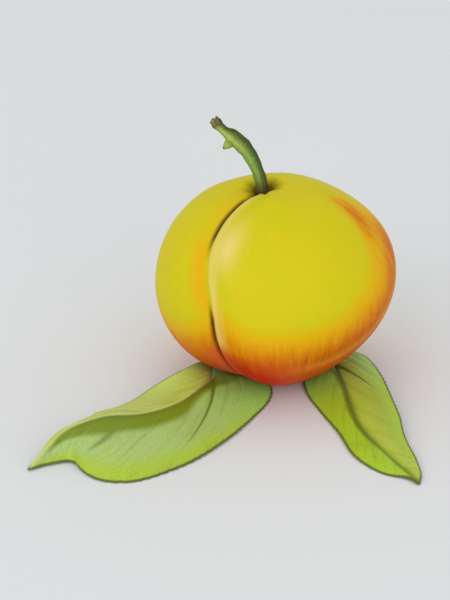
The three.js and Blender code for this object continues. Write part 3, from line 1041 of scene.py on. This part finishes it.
class PEACH_OT_leaves(bpy.types.Operator):
    """Grows the two loose leaves under the fruit"""
    bl_idname = "peach.leaves"
    bl_label = "Leaves"

    ROWS = 520
    HALVES = 34         # columns over each half of a blade
    CROWDING = 1.2      # draws them towards the midrib

    def execute(self, context):
        leaf = context.scene.peach_leaf
        left = LeafShape(LEFT_LEAF, seed=0.4, sweep=0.50, first_vein=0.235, vein_end=1.15,
                         strong_veins=(0, 3), fold_shade_side=1, fold_shade_reach=0.17, fold_shade_swelling=0.15,
                         fold_shade_end=0.92)
        right = LeafShape(RIGHT_LEAF, seed=1.9, sweep=0.35, first_vein=0.212, vein_end=0.80,
                          strong_veins=(0,), fold_shade_side=-1, fold_shade_reach=0.10, fold_shade_swelling=0.10,
                          fold_shade_end=0.70)
        left_look = dict(
            glow=0.0, plus_colour=leaf.grey_green, minus_colour=leaf.pale_green,
            minus_lit_base=leaf.base_lit_yellow, edge_colour=leaf.yellow_green, rib_colour=leaf.rib_cream_and_highlight)
        right_look = dict(
            glow=0.6, plus_colour=leaf.soft_green, minus_colour=leaf.bright_green,
            minus_lit_base=leaf.base_lit_green, edge_colour=leaf.bright_green, rib_colour=leaf.dark_green)
        for node, shape, look in (("leaf_left", left, left_look), ("leaf_right", right, right_look)):
            rings, marks = leaf_skin(shape, leaf, self.ROWS, self.HALVES, self.CROWDING)
            piece = ring_skin(f"peach_{node}", rings, marks)
            finish_piece(piece, leaf_blade(node, leaf, **look), node, node)
        return {"FINISHED"}


# ======== stage ========

def area_light(name, place, aim, size, power, tint):
    """A soft square light that looks at a point and does not show itself."""
    data = bpy.data.lights.new(name, "AREA")
    data.size = size
    data.energy = power
    data.color = tint
    lamp = bpy.data.objects.new(name, data)
    lamp.location = place
    lamp.rotation_euler = (Vector(aim) - Vector(place)).to_track_quat("-Z", "Y").to_euler()
    lamp.visible_camera = False
    bpy.context.scene.collection.objects.link(lamp)


class PEACH_OT_stage(bpy.types.Operator):
    """Lays the floor, hangs the lights and sets up the camera"""
    bl_idname = "peach.stage"
    bl_label = "Stage"

    def execute(self, context):
        stage = context.scene.peach_stage
        half = stage.floor_width / 2
        mesh = bpy.data.meshes.new("floor")
        mesh.from_pydata([(-half, -half, 0), (half, -half, 0), (half, half, 0), (-half, half, 0)],
                         [], [(0, 1, 2, 3)])
        floor = bpy.data.objects.new("floor", mesh)
        context.scene.collection.objects.link(floor)
        paint = Paint("floor_paint")
        clouds = paint.noise(paint.place(), 3.0, 1.0)
        tone = paint.mix(clouds * 0.04, stage.floor, (0.7, 0.7, 0.7))
        mesh.materials.append(paint.finish(tone, 0.85, paint.bump(clouds, 0.01 * MM, 0.1)))

        aim = Vector(stage.aim)
        for name, way, distance, width, power, tint in LAMPS:
            area_light(name, aim + Vector(way) * distance, aim, width, power, tint)
        world = bpy.data.worlds.new("studio")
        world.use_nodes = True
        background = world.node_tree.nodes["Background"]
        background.inputs["Color"].default_value = STUDIO_LIGHT
        background.inputs["Strength"].default_value = STUDIO_STRENGTH
        context.scene.world = world
        context.scene.view_settings.view_transform = "Standard"

        data = bpy.data.cameras.new("camera")
        data.lens = stage.lens
        data.clip_start = 0.01
        camera = bpy.data.objects.new("camera", data)
        back = Vector((0, -np.cos(stage.elevation), np.sin(stage.elevation)))
        camera.location = aim + back * stage.distance
        camera.rotation_euler = (-back).to_track_quat("-Z", "Y").to_euler()
        context.scene.collection.objects.link(camera)
        context.scene.camera = camera
        return {"FINISHED"}


# ======== panel and start ========

class PEACH_PT_panel(bpy.types.Panel):
    """The pieces and their settings"""
    bl_idname = "PEACH_PT_panel"
    bl_label = "Peach"
    bl_space_type = "VIEW_3D"
    bl_region_type = "UI"
    bl_category = "Peach"

    def draw(self, context):
        for operator, group in zip(OPERATORS, GROUPS):
            box = self.layout.box()
            box.operator(operator.bl_idname)
            settings = getattr(context.scene, group)
            for key in settings.__annotations__:
                box.prop(settings, key)


OPERATORS = (PEACH_OT_fruit, PEACH_OT_stalk, PEACH_OT_leaves, PEACH_OT_stage)
GROUPS = {
    "peach_fruit": PeachFruitSettings,
    "peach_stalk": PeachStalkSettings,
    "peach_leaf": PeachLeafSettings,
    "peach_stage": PeachStageSettings,
}


def register():
    for name, group in GROUPS.items():
        bpy.utils.register_class(group)
        setattr(bpy.types.Scene, name, PointerProperty(type=group))
    for entry in (*OPERATORS, PEACH_PT_panel):
        bpy.utils.register_class(entry)


def unregister():
    for entry in (PEACH_PT_panel, *reversed(OPERATORS)):
        bpy.utils.unregister_class(entry)
    for name, group in GROUPS.items():
        delattr(bpy.types.Scene, name)
        bpy.utils.unregister_class(group)


def main():
    register()
    bpy.ops.peach.fruit()
    bpy.ops.peach.stalk()
    bpy.ops.peach.leaves()
    bpy.ops.peach.stage()


if __name__ == "__main__":
    main()
